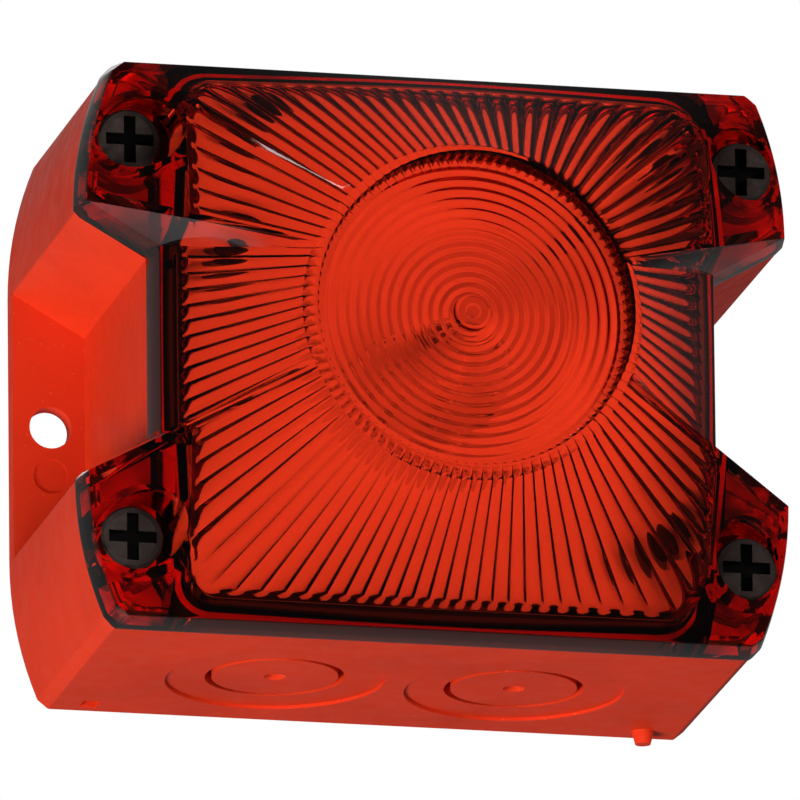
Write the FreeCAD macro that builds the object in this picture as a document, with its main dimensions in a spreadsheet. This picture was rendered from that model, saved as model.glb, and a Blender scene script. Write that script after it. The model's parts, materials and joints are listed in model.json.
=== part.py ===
import FreeCAD, Part
import math
import os
import Sketcher
from types import SimpleNamespace
from FreeCAD import Placement, Rotation, Vector

# Wall-mounted flashing beacon: an opaque rear housing that screws to the wall, and a faceted
# transparent lens cover held by four captive plastic screws. Millimetres. The wall is the plane
# Y = 0 and the beacon stands out of it towards -Y. +X is right and +Z is up. "Depth" below is the
# distance out from the wall, so a depth of 58 is the plane Y = -58.

DIMENSIONS = {
    # Rear housing
    "waist_half_w": (52.0, "half width at the waist, between the side recesses"),
    "waist_half_z": (17.2, "half height of the side recess at the waist"),
    "ear_half_w": (65.4, "half width over the ears"),
    "ear_low_z": (24.9, "height where an ear reaches its full width"),
    "ear_arc": (67.0, "radius of an ear's outer side"),
    "corner_x": (60.36, "end of the ear's side arc, across"),
    "corner_z": (50.4, "end of the ear's side arc, up"),
    "top_x": (58.4, "half width of the flat top and bottom"),
    "half_height": (52.0, "half height of the housing"),
    "rim_depth": (58.0, "wall to the seam between housing and cover"),
    "flange_t": (4.0, "thickness of the two fixing flanges"),
    "floor_t": (3.5, "thickness of the housing's floor"),
    "chamber_half": (47.4, "half side of the square inner chamber"),
    "chamber_round": (6.0, "corner radius of the chamber"),
    "core_inner_x": (51.0, "inner wall of the hollow behind each ear"),
    "core_depth": (50.0, "depth of the hollow behind each ear"),
    "ear_wall": (3.0, "wall thickness around the hollow ears"),
    "fixing_x": (58.4, "wall fixing hole, across"),
    "fixing_r": (3.9, "wall fixing hole radius"),
    "mark_drop": (9.2, "ejector mark below the fixing hole"),
    "mark_r": (3.2, "ejector mark radius"),
    "knockout_x": (22.2, "cable knock-out, across"),
    "knockout_depth": (27.1, "cable knock-out, out from the wall"),
    "knockout_r": (12.75, "cable hole radius once the disc is knocked out"),
    "knockout_disc_r": (11.5, "radius of the disc inside the groove"),
    "knockout_face_r": (20.0, "radius of the sunk seal face"),
    "knockout_face_sink": (0.6, "how far the seal face is sunk"),
    "knockout_groove": (3.8, "groove depth below the bottom face"),
    "dimple_r": (2.0, "radius of the knock-out's centre dimple"),
    "nub_x": (51.6, "moulded nub and notch on the bottom edge, across"),
    "nub_depth": (4.6, "moulded nub and notch, out from the wall"),
    "groove_in": (48.2, "inner half side of the gasket groove"),
    "groove_out": (51.2, "outer half side of the gasket groove"),
    "groove_sink": (1.5, "depth of the gasket groove"),
    # Cover screws
    "screw_x": (56.7, "cover screw, across"),
    "screw_z": (37.2, "cover screw, up"),
    "boss_r": (5.5, "screw boss radius"),
    "insert_r": (3.1, "threaded insert outer radius"),
    "insert_len": (10.0, "threaded insert length"),
    "insert_sink": (1.0, "insert below the rim"),
    "bore_r": (2.6, "clearance hole behind the insert"),
    "shank_r": (2.4, "cover screw shank radius"),
    "shank_end": (44.0, "depth of the screw's tip"),
    "head_r": (5.8, "cover screw head radius"),
    "head_seat": (62.0, "depth of the screw head's seat"),
    "head_top": (65.2, "depth of the screw head's top"),
    "cross_half": (4.4, "half length of the cross recess"),
    "cross_w": (1.1, "half width of a cross recess arm"),
    "cross_sink": (2.3, "cross recess depth"),
    "running": (0.05, "radial running clearance"),
    # Lens cover
    "lens_grow": (0.35, "cover's rim beyond the housing"),
    "edge_depth": (65.0, "wall to the cover's front edge, where the facets start"),
    "edge_inset": (0.6, "draft of the cover's front edge inside the housing outline"),
    "crown_depth": (95.0, "wall to the lens's flat round crown"),
    "crown_r": (30.1, "crown radius"),
    "crown_inner": (90.3, "depth of the crown's inner side"),
    "lens_wall": (2.6, "cover wall thickness"),
    "recess_r": (28.2, "radius of the sunk disc in the crown"),
    "recess_sink": (2.8, "how far the disc is sunk"),
    "ring_pitch": (1.9, "spacing of the ring grooves inside the crown"),
    "ring_sink": (0.5, "depth of the ring grooves"),
    "button_r": (3.2, "centre button radius"),
    "button_up": (1.1, "centre button height"),
    "pocket_r": (7.0, "screw pocket radius"),
    "pocket_in": (1.0, "screw pocket centre, inwards of the screw"),
    "pocket_wall": (1.6, "screw pocket wall thickness"),
    "lip_w": (2.6, "width of the lip that closes the chamber"),
    # Inside
    "board_depth": (12.0, "wall to the circuit board's back"),
    "board_t": (1.6, "circuit board thickness"),
    "board_half_w": (44.0, "circuit board half width"),
    "board_bottom": (-20.0, "circuit board's lower edge"),
    "board_top": (45.5, "circuit board's upper edge"),
    "standoff_x": (40.0, "board fixing, across"),
    "standoff_low": (-15.0, "lower board fixings"),
    "standoff_high": (27.0, "upper board fixings"),
    "standoff_r": (3.5, "board standoff radius"),
    "board_screw_r": (1.45, "board screw shank radius"),
    "reflector_depth": (56.0, "wall to the reflector plate's back"),
    "reflector_t": (1.6, "reflector plate thickness"),
    "reflector_half": (46.2, "reflector plate half side"),
    "bowl_r": (22.0, "reflector bowl mouth radius"),
    "bowl_foot_r": (10.5, "reflector bowl foot radius"),
    "bowl_foot": (46.0, "depth of the bowl's foot"),
    "post_r": (3.3, "reflector post radius"),
    "collar_r": (4.4, "reflector post collar radius"),
    "post_top": (68.5, "depth of the posts' tips"),
    "leg_gap": (6.0, "flash tube leg, out from its centre"),
    "tube_r": (2.0, "flash tube outer radius"),
    "tube_bore": (1.4, "flash tube inner radius"),
    "tube_foot": (52.0, "depth of the flash tube's feet"),
    "tube_bend": (74.0, "depth where the flash tube's legs start to bend"),
    "holder_r": (9.4, "tube holder radius"),
    "lead_way_r": (0.75, "radius of the lead holes in the stem and holder"),
    "stem_r": (6.5, "lamp stem radius"),
    "terminal_pitch": (8.0, "terminal pole pitch"),
    "terminal_z": (-14.0, "row of terminal screws"),
    "terminal_front": (28.0, "depth of the terminal block's front"),
    "terminal_screw_r": (2.3, "terminal screw head radius"),
    "clamp_thread_r": (1.5, "thread radius of a terminal's brass clamp"),
    "dip_x": (-34.0, "switch block centre, across"),
    "dip_z": (-2.0, "switch block centre, up"),
    "dip_pitch": (2.54, "switch lever pitch"),
}

doc = FreeCAD.newDocument("Beacon")
sheet = doc.addObject("Spreadsheet::Sheet", "Sizes")
for row, (alias, (value, meaning)) in enumerate(DIMENSIONS.items(), start=1):
    sheet.set(f"A{row}", alias)
    sheet.set(f"B{row}", str(value))
    sheet.setAlias(f"B{row}", alias)
    sheet.set(f"C{row}", meaning)
doc.recompute()


class Size:
    """A length worked out from the sheet: its value, and the expression that keeps it bound."""

    def __init__(self, value, text=None):
        self.value = float(value)
        self.text = text or f"({self.value!r})"

    @staticmethod
    def of(other):
        return other if isinstance(other, Size) else Size(other)

    def __add__(self, other):
        other = Size.of(other)
        return Size(self.value + other.value, f"({self.text} + {other.text})")

    def __sub__(self, other):
        other = Size.of(other)
        return Size(self.value - other.value, f"({self.text} - {other.text})")

    def __mul__(self, other):
        other = Size.of(other)
        return Size(self.value * other.value, f"({self.text} * {other.text})")

    def __truediv__(self, other):
        other = Size.of(other)
        return Size(self.value / other.value, f"({self.text} / {other.text})")

    def __neg__(self):
        return Size(-self.value, f"(-1 * {self.text})")

    __radd__ = __add__
    __rmul__ = __mul__


def hypot(a, b):
    return Size(math.hypot(a.value, b.value), f"hypot({a.text}; {b.text})")


S = SimpleNamespace(
    **{alias: Size(value, f"Sizes.{alias}") for alias, (value, _) in DIMENSIONS.items()}
)
OUT = Rotation(Vector(1, 0, 0), 90)  # turns a local Z axis to point out from the wall
UP = Rotation()
ACROSS = Rotation(Vector(0, 1, 0), 90)
QUADRANTS = {
    "upper_left": (-1, 1),
    "upper_right": (1, 1),
    "lower_left": (-1, -1),
    "lower_right": (1, -1),
}
POSTS = [(-33.0, 41.5), (40.0, 37.0), (39.5, -34.0), (-38.0, 15.0)]
nodes = []


# ---------------------------------------------------------------- helpers: binding and placing


def bind(obj, **sizes):
    """Binds properties such as Length or Radius to the sheet."""
    for prop, size in sizes.items():
        obj.setExpression(prop, Size.of(size).text)
    return obj


def place(obj, x=0, depth=0, z=0, turn=UP):
    """Puts an object at x, depth out from the wall and z, bound to the sheet."""
    obj.Placement = Placement(Vector(), turn)
    for axis, size in (("x", x), ("y", -Size.of(depth)), ("z", z)):
        obj.setExpression(f"Placement.Base.{axis}", Size.of(size).text)
    return obj


def keep(obj, label):
    """Marks an object as a finished sub-part, which is written to its own file."""
    obj.Label = label
    nodes.append(obj)
    return obj


def new(kind, name):
    return doc.addObject(kind, name)


# ---------------------------------------------------------------- helpers: primitives


def rod(name, x, z, back, front, radius):
    """A cylinder along the depth axis, from depth back to depth front."""
    cylinder = bind(new("Part::Cylinder", name), Radius=radius, Height=Size.of(front) - back)
    return place(cylinder, x, back, z, OUT)


def taper(name, x, z, back, front, back_r, front_r):
    """A cone along the depth axis."""
    cone = bind(new("Part::Cone", name), Radius1=back_r, Radius2=front_r)
    return place(bind(cone, Height=Size.of(front) - back), x, back, z, OUT)


def bar(name, x, depth, z, radius, length, turn=ACROSS):
    """A cylinder that starts at a point and runs across, or up with turn=UP."""
    cylinder = bind(new("Part::Cylinder", name), Radius=radius, Height=length)
    return place(cylinder, x, depth, z, turn)


def slab(name, x, back, z, width, deep, height):
    """A box centred on x and z, from depth back outwards."""
    box = bind(new("Part::Box", name), Length=width, Width=deep, Height=height)
    width, deep, height = Size.of(width), Size.of(deep), Size.of(height)
    return place(box, Size.of(x) - width * 0.5, Size.of(back) + deep, Size.of(z) - height * 0.5)


def ring(name, x, z, depth, major, minor):
    """A torus round the depth axis."""
    torus = bind(new("Part::Torus", name), Radius1=major, Radius2=minor)
    return place(torus, x, depth, z, OUT)


def fuse(name, *shapes):
    joined = new("Part::MultiFuse", name)
    joined.Shapes = list(shapes)
    return joined


def group(name, *shapes):
    """Separate solids kept in one sub-part, such as a set of identical fasteners."""
    compound = new("Part::Compound", name)
    compound.Links = list(shapes)
    return compound


def cut(name, base, *tools):
    result = new("Part::Cut", name)
    result.Base = base
    result.Tool = tools[0] if len(tools) == 1 else fuse(f"{name}Tools", *tools)
    return result


# ---------------------------------------------------------------- helpers: sketches


def draw(sketch, corners, arcs=None):
    """Adds a closed outline to a sketch. Corners run anticlockwise, each bound to the sheet. arcs gives
    the radius of the edge that starts at that corner, bulging outwards."""
    arcs = arcs or {}
    first, count = sketch.GeometryCount, len(corners)
    points = [Vector(x.value, y.value, 0) for x, y in corners]
    for index, start in enumerate(points):
        end = points[(index + 1) % count]
        if index not in arcs:
            sketch.addGeometry(Part.LineSegment(start, end), False)
            continue
        radius, chord = arcs[index].value, end - start
        inward = Vector(-chord.y, chord.x, 0).normalize()
        centre = (start + end) * 0.5 + inward * math.sqrt(radius**2 - chord.Length**2 / 4)
        angles = [math.atan2(p.y - centre.y, p.x - centre.x) for p in (start, end)]
        if angles[1] < angles[0]:
            angles[1] += 2 * math.pi
        circle = Part.Circle(centre, Vector(0, 0, 1), radius)
        sketch.addGeometry(Part.ArcOfCircle(circle, *angles), False)
    for index in range(count):
        following = first + (index + 1) % count
        sketch.addConstraint(Sketcher.Constraint("Coincident", first + index, 2, following, 1))
    for index, corner in enumerate(corners):
        for kind, size in zip(("DistanceX", "DistanceY"), corner):
            constrain(sketch, size, kind, -1, 1, first + index, 1)
    for index, radius in arcs.items():
        constrain(sketch, radius, "Radius", first + index)


def draw_circle(sketch, x, y, radius):
    x, y, radius = Size.of(x), Size.of(y), Size.of(radius)
    circle = Part.Circle(Vector(x.value, y.value, 0), Vector(0, 0, 1), radius.value)
    index = sketch.addGeometry(circle, False)
    constrain(sketch, x, "DistanceX", -1, 1, index, 3)
    constrain(sketch, y, "DistanceY", -1, 1, index, 3)
    constrain(sketch, radius, "Radius", index)


def constrain(sketch, size, *constraint):
    number = sketch.addConstraint(Sketcher.Constraint(*constraint, size.value))
    sketch.setExpression(f"Constraints[{number}]", size.text)


def rectangle(half_w, half_h, x=0, y=0):
    """Corners of a rectangle about (x, y)."""
    x, y, half_w, half_h = (Size.of(v) for v in (x, y, half_w, half_h))
    left, right, low, high = x - half_w, x + half_w, y - half_h, y + half_h
    return [(left, low), (right, low), (right, high), (left, high)]


def rounded_square(half, radius):
    """Corners and arcs of a rounded square about the origin."""
    flat = half - radius
    corners = [(half, -flat), (half, flat), (flat, half), (-flat, half)]
    corners += [(-x, -y) for x, y in corners]
    return corners, {index: radius for index in (1, 3, 5, 7)}


def mirrored(quarter):
    """The whole outline, anticlockwise, from its corners in the first quadrant."""
    left = [(-x, y) for x, y in reversed(quarter)]
    return quarter + left + [(-x, -y) for x, y in quarter] + [(x, -y) for x, y in reversed(quarter)]


def beacon_outline(grow, inset_top, arc):
    """The beacon's front outline: straight top and bottom, bulging ears and a waist, all of it grown
    by one length, and by another at the top and bottom."""
    quarter = [
        (S.waist_half_w + grow, S.waist_half_z - grow * 0.58),
        (S.ear_half_w + grow, S.ear_low_z - grow * 0.58),
        (S.corner_x + grow, S.corner_z + inset_top * 0.6),
        (S.top_x + grow, S.half_height + inset_top),
    ]
    return mirrored(quarter), {index: arc for index in (1, 5, 9, 13)}


def free_sketch(name, depth):
    """A sketch that stands on its own, facing out from the wall."""
    return place(new("Sketcher::SketchObject", name), depth=depth, turn=OUT)


def extrude(name, sketch, length):
    solid = new("Part::Extrusion", name)
    solid.Base = sketch
    solid.DirMode = "Normal"
    solid.Solid = True
    return bind(solid, LengthFwd=length)


def loft(name, *sections):
    solid = new("Part::Loft", name)
    solid.Sections = list(sections)
    solid.Solid = True
    solid.Ruled = True
    return solid


# ---------------------------------------------------------------- helpers: bodies


def body(name):
    return new("PartDesign::Body", name)


def plane(owner, role):
    return next(f for f in owner.Origin.OriginFeatures if f.Role == role)


def body_sketch(owner, name, offset=0, role="XZ_Plane"):
    """A sketch on one of the body's own origin planes, moved off it by a bound offset."""
    sketch = owner.newObject("Sketcher::SketchObject", name)
    sketch.AttachmentSupport = [(plane(owner, role), "")]
    sketch.MapMode = "FlatFace"
    sketch.setExpression("AttachmentOffset.Base.z", Size.of(offset).text)
    return sketch


def add(owner, kind, sketch, length, reverse=False):
    """A Pad or a Pocket. It checks that the solid grew or shrank as it should."""
    before = owner.Shape.Volume if owner.Tip else 0.0
    feature = owner.newObject(f"PartDesign::{kind}", f"{sketch.Name}{kind}")
    feature.Profile = sketch
    feature.Reversed = reverse
    bind(feature, Length=length)
    doc.recompute()
    change = owner.Shape.Volume - before
    if abs(change) < 0.01 or (change > 0) != (kind == "Pad"):
        raise ValueError(f"{feature.Name} changes the volume by {change:.1f}")
    return feature


def turned(name, x, z, corners):
    """A solid of revolution about the depth axis. Each corner is a radius and a depth."""
    owner = place(body(name), x, 0, z)
    sketch = body_sketch(owner, f"{name}Profile", role="XY_Plane")
    draw(sketch, [(Size.of(r), -Size.of(d)) for r, d in corners])
    revolution = owner.newObject("PartDesign::Revolution", f"{name}Turn")
    revolution.Profile = sketch
    revolution.ReferenceAxis = (sketch, ["V_Axis"])
    revolution.Angle = 360
    return owner


# ---------------------------------------------------------------- rear housing


def make_housing():
    """Opaque moulding: hollow ears, a square chamber, side recesses with fixing flanges, and two
    knock-outs in the bottom wall."""
    owner = body("RearHousing")
    shell = body_sketch(owner, "Shell")
    draw(shell, *beacon_outline(Size(0), Size(0), S.ear_arc))
    add(owner, "Pad", shell, S.rim_depth)

    flange = body_sketch(owner, "Flange")
    draw(flange, rectangle(S.ear_half_w, S.ear_low_z))
    add(owner, "Pad", flange, S.flange_t)

    chamber = body_sketch(owner, "Chamber", S.rim_depth)
    draw(chamber, *rounded_square(S.chamber_half, S.chamber_round))
    add(owner, "Pocket", chamber, S.rim_depth - S.floor_t)

    cores = body_sketch(owner, "EarCores")
    core_top, slant = S.half_height - S.ear_wall, S.ear_wall * 1.155
    quarter = [
        (S.core_inner_x, S.waist_half_z + slant - 0.4),
        (S.ear_half_w - S.ear_wall, S.ear_low_z + 1.8),
        (S.corner_x - S.ear_wall * 0.88, core_top),
        (S.core_inner_x, core_top),
    ]
    for side, level in QUADRANTS.values():
        corners = [(x * side, z * level) for x, z in quarter]
        arc_edge = 1
        if side * level < 0:
            corners.reverse()
        draw(cores, corners, {arc_edge: S.ear_arc - S.ear_wall})
    add(owner, "Pocket", cores, S.core_depth, reverse=True)

    bosses = body_sketch(owner, "ScrewBosses")
    insert_holes = body_sketch(owner, "InsertHoles", S.rim_depth)
    screw_bores = body_sketch(owner, "ScrewBores", S.rim_depth)
    for side, level in QUADRANTS.values():
        for sketch, radius in ((bosses, S.boss_r), (insert_holes, S.insert_r), (screw_bores, S.bore_r)):
            draw_circle(sketch, S.screw_x * side, S.screw_z * level, radius)
    add(owner, "Pad", bosses, S.rim_depth - 6)
    add(owner, "Pocket", insert_holes, S.insert_len + S.insert_sink)
    add(owner, "Pocket", screw_bores, S.rim_depth - S.shank_end + 4)

    groove = body_sketch(owner, "GasketGroove", S.rim_depth)
    draw(groove, *rounded_square(S.groove_out, S.chamber_round + 3.2))
    draw(groove, *rounded_square(S.groove_in, S.chamber_round + 1.2))
    add(owner, "Pocket", groove, S.groove_sink)

    bottom = -S.half_height
    faces = body_sketch(owner, "KnockoutFaces", bottom, "XY_Plane")
    rings = body_sketch(owner, "KnockoutRings", bottom, "XY_Plane")
    dimples = body_sketch(owner, "KnockoutDimples", bottom + S.knockout_face_sink, "XY_Plane")
    for side in (-1, 1):
        x, depth = S.knockout_x * side, -S.knockout_depth
        draw_circle(faces, x, depth, S.knockout_face_r)
        draw_circle(rings, x, depth, S.knockout_r)
        draw_circle(rings, x, depth, S.knockout_disc_r)
        draw_circle(dimples, x, depth, S.dimple_r)
    add(owner, "Pocket", faces, S.knockout_face_sink, reverse=True)
    add(owner, "Pocket", rings, S.knockout_groove, reverse=True)
    add(owner, "Pocket", dimples, 1.3, reverse=True).TaperAngle = -45

    holes = body_sketch(owner, "FixingHoles", S.flange_t)
    marks = body_sketch(owner, "EjectorMarks", S.flange_t)
    for side in (-1, 1):
        draw_circle(holes, S.fixing_x * side, 0, S.fixing_r)
        draw_circle(marks, S.fixing_x * side, -S.mark_drop, S.mark_r)
    add(owner, "Pocket", holes, S.flange_t + 1)
    add(owner, "Pocket", marks, 0.25)

    standoffs = body_sketch(owner, "Standoffs", S.floor_t)
    pilots = body_sketch(owner, "StandoffPilots", S.board_depth)
    for x, z in board_fixings():
        draw_circle(standoffs, x, z, S.standoff_r)
        draw_circle(pilots, x, z, S.board_screw_r)
    add(owner, "Pad", standoffs, S.board_depth - S.floor_t)
    add(owner, "Pocket", pilots, S.board_depth - S.floor_t)

    notch = body_sketch(owner, "BottomNotch", bottom, "XY_Plane")
    draw(notch, rectangle(1.6, 2.2, -S.nub_x, -S.nub_depth))
    add(owner, "Pocket", notch, 1.0, reverse=True)
    nub = body_sketch(owner, "BottomNub", bottom, "XY_Plane")
    draw_circle(nub, S.nub_x, -S.nub_depth, 2.1)
    add(owner, "Pad", nub, 2.4, reverse=True).TaperAngle = -16

    doc.recompute()
    soften(owner, outline_edges(owner), 0.7)
    return keep(owner, "rear_housing")


def board_fixings():
    return [
        (S.standoff_x * side, level) for side in (-1, 1) for level in (S.standoff_low, S.standoff_high)
    ]


def soften(owner, names, radius):
    """Rounds the named edges of the body's last feature."""
    base = owner.Tip
    fillet = owner.newObject("PartDesign::Fillet", f"{owner.Name}Round")
    fillet.Base = (base, names)
    fillet.Radius = radius
    doc.recompute()


def edge_names(owner, wanted):
    shape = owner.Tip.Shape
    return [f"Edge{number}" for number, edge in enumerate(shape.Edges, start=1) if wanted(edge)]


def outline_edges(owner):
    """The long outer edges that run from the wall to the rim at the ears' corners."""

    def wanted(edge):
        box = edge.BoundBox
        tall = box.YLength > S.rim_depth.value * 0.8 and box.XLength + box.ZLength < 0.01
        to_rim = abs(box.YMin + S.rim_depth.value) < 0.01
        return tall and to_rim and abs(box.XMin) > S.waist_half_w.value + 1

    return edge_names(owner, wanted)


# ---------------------------------------------------------------- lens cover


def crown_section(name, depth, radius, outline):
    """A circle split at the directions of an outline's corners, so that a ruled loft keeps its facets."""
    corners = []
    for x, z in outline:
        reach = hypot(x, z)
        corners.append((x / reach * radius, z / reach * radius))
    sketch = free_sketch(name, depth)
    draw(sketch, corners, {index: radius for index in range(len(corners))})
    return sketch


def lens_solid(name, rim_grow, edge_grow, rim, edge, crown, crown_r):
    """Skirt and facets: from the rim to the front edge, and from there to the round crown."""
    rim_sketch, edge_sketch = free_sketch(f"{name}Rim", rim), free_sketch(f"{name}Edge", edge)
    draw(rim_sketch, *beacon_outline(rim_grow, rim_grow + 0.25, S.ear_arc + 3))
    outline, arcs = beacon_outline(edge_grow, edge_grow + 0.45, S.ear_arc)
    draw(edge_sketch, outline, arcs)
    crown_sketch = crown_section(f"{name}Crown", crown, crown_r, outline)
    return loft(name, rim_sketch, edge_sketch, crown_sketch)


def make_cover():
    """Transparent cover: a thin faceted shell, a lip that closes the chamber, four screw pockets."""
    outer = lens_solid(
        "LensOuter", S.lens_grow, -S.edge_inset, S.rim_depth, S.edge_depth, S.crown_depth, S.crown_r
    )
    inner = lens_solid(
        "LensInner",
        S.lens_grow - S.lens_wall,
        -S.edge_inset - S.lens_wall,
        S.rim_depth,
        S.edge_depth - 1.2,
        S.crown_inner,
        S.crown_r,
    )
    reach = S.crown_depth - S.rim_depth
    lip_sketch = free_sketch("LipOutline", S.rim_depth)
    draw(lip_sketch, *rounded_square(S.chamber_half + S.lip_w, S.chamber_round + S.lip_w))
    draw(lip_sketch, *rounded_square(S.chamber_half, S.chamber_round))
    kept = [extrude("Lip", lip_sketch, reach)]
    holes = []
    for name, (side, level) in QUADRANTS.items():
        x, z = S.screw_x * side, S.screw_z * level
        pocket_x = (S.screw_x - S.pocket_in) * side
        outer_r = S.pocket_r + S.pocket_wall
        kept.append(rod(f"Tube_{name}", pocket_x, z, S.rim_depth, S.crown_depth, outer_r))
        holes.append(rod(f"Pocket_{name}", pocket_x, z, S.head_seat, S.crown_depth, S.pocket_r))
        holes.append(rod(f"Through_{name}", x, z, S.rim_depth, S.head_seat, S.shank_r + 0.35))
        holes.append(rod(f"SealSeat_{name}", x, z, S.head_seat - 1.6, S.head_seat, 4.4))
        holes.append(rod(f"RetainerSeat_{name}", x, z, S.rim_depth, S.rim_depth + 1.2, 4.6))
    hollow = fuse("LensHollow", cut("LensChambers", inner, *kept), ring_grooves(13))
    recess = rod("Recess", 0, 0, S.crown_depth - S.recess_sink, S.crown_depth, S.recess_r)
    button = rod("Button", 0, 0, S.crown_depth - S.recess_sink, crown_button_top(), S.button_r)
    dish = cut("Dish", recess, button)
    return keep(cut("LensCover", outer, hollow, dish, *holes), "lens_cover")


def ring_grooves(count):
    """Concentric V grooves cut into the crown's inner side, counted from the button outwards."""
    base, tip = S.crown_inner - 0.4, S.crown_inner + S.ring_sink
    profile = [(S.button_r, base)]
    for index in range(count):
        inner_r = S.button_r + S.ring_pitch * index
        profile += [(inner_r, S.crown_inner), (inner_r + S.ring_pitch * 0.5, tip)]
    outer_r = S.button_r + S.ring_pitch * count
    profile += [(outer_r, S.crown_inner), (outer_r, base)]
    return turned("RingGrooves", 0, 0, profile)


def crown_button_top():
    return S.crown_depth - S.recess_sink + S.button_up


def make_gasket():
    """Square cord of soft rubber, pressed level with the rim."""
    sketch = free_sketch("GasketOutline", S.rim_depth - S.groove_sink)
    draw(sketch, *rounded_square(S.groove_out, S.chamber_round + 3.2))
    draw(sketch, *rounded_square(S.groove_in, S.chamber_round + 1.2))
    return keep(extrude("Gasket", sketch, S.groove_sink), "cover_gasket")


# ---------------------------------------------------------------- cover screws and what holds them


def make_cover_screw(label, side, level):
    """Plastic pan-head screw with a cross recess."""
    screw = turned(
        f"CoverScrew_{label}",
        S.screw_x * side,
        S.screw_z * level,
        [
            (0, S.shank_end),
            (S.shank_r - 1, S.shank_end),
            (S.shank_r, S.shank_end + 1.4),
            (S.shank_r, S.head_seat),
            (S.head_r, S.head_seat),
            (S.head_r, S.head_top - 1.1),
            (S.head_r - 0.45, S.head_top - 0.35),
            (S.head_r - 1.4, S.head_top),
            (0, S.head_top),
        ],
    )
    doc.recompute()
    for arm, half_w, half_h in (("Level", S.cross_half, S.cross_w), ("Upright", S.cross_w, S.cross_half)):
        slot = body_sketch(screw, f"{arm}Slot_{label}", S.head_top)
        draw(slot, rectangle(half_w, half_h))
        add(screw, "Pocket", slot, S.cross_sink)
    keep(screw, f"cover_screw_{label}")


def make_screw_hardware():
    """Brass inserts in the housing, and the seal and retaining washer on each cover screw."""
    inserts, seals, washers = [], [], []
    top = S.rim_depth - S.insert_sink
    for name, (side, level) in QUADRANTS.items():
        x, z = S.screw_x * side, S.screw_z * level
        sleeve = rod(f"Sleeve_{name}", x, z, top - S.insert_len, top, S.insert_r)
        thread = rod(f"Thread_{name}", x, z, top - S.insert_len, top, S.shank_r + S.running)
        waist = cut(
            f"Waist_{name}",
            rod(f"WaistOuter_{name}", x, z, top - 5.6, top - 4.4, S.insert_r),
            rod(f"WaistInner_{name}", x, z, top - 5.6, top - 4.4, S.insert_r - 0.35),
        )
        inserts.append(cut(f"Insert_{name}", sleeve, thread, waist))
        seals.append(ring(f"Seal_{name}", x, z, S.head_seat - 0.82, 3.55, 0.75))
        washer = rod(f"Washer_{name}", x, z, S.rim_depth, S.rim_depth + 1.0, 4.4)
        grip = rod(f"Grip_{name}", x, z, S.rim_depth, S.rim_depth + 1.0, S.shank_r + S.running)
        washers.append(cut(f"Retainer_{name}", washer, grip))
    keep(group("Inserts", *inserts), "threaded_inserts")
    keep(group("Seals", *seals), "screw_seals")
    keep(group("Retainers", *washers), "screw_retainers")


# ---------------------------------------------------------------- lamp and reflector


def make_reflector():
    """White plate that fills the chamber, with a bowl round the flash tube."""
    plate_sketch = free_sketch("ReflectorOutline", S.reflector_depth)
    draw(plate_sketch, *rounded_square(S.reflector_half, S.chamber_round - 1))
    plate = extrude("ReflectorPlate", plate_sketch, S.reflector_t)
    front = S.reflector_depth + S.reflector_t
    outer = taper("BowlOuter", 0, 0, S.bowl_foot - 1.2, front, S.bowl_foot_r, S.bowl_r + 1)
    inner = taper("BowlInner", 0, 0, S.bowl_foot, front, S.bowl_foot_r - 0.4, S.bowl_r)
    opening = rod("BowlOpening", 0, 0, S.bowl_foot - 2, S.bowl_foot + 1, S.holder_r + 0.1)
    post_holes = [
        rod(f"PostHole{i}", x, z, S.reflector_depth, front, S.post_r + 0.05)
        for i, (x, z) in enumerate(POSTS)
    ]
    joined = fuse("ReflectorBlank", plate, outer)
    return keep(cut("Reflector", joined, inner, opening, *post_holes), "reflector")


def make_posts():
    """Black posts that carry the reflector on a collar and stand through it."""
    posts = []
    for index, (x, z) in enumerate(POSTS):
        collar = S.reflector_depth
        profile = [
            (0, S.floor_t),
            (S.post_r, S.floor_t),
            (S.post_r, collar - 4),
            (S.collar_r, collar - 3),
            (S.collar_r, collar),
            (S.post_r, collar),
            (S.post_r, S.post_top - 1.2),
            (S.post_r - 1.2, S.post_top),
            (0, S.post_top),
        ]
        posts.append(turned(f"Post{index}", x, z, profile))
    return keep(group("Posts", *posts), "reflector_posts")


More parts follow.
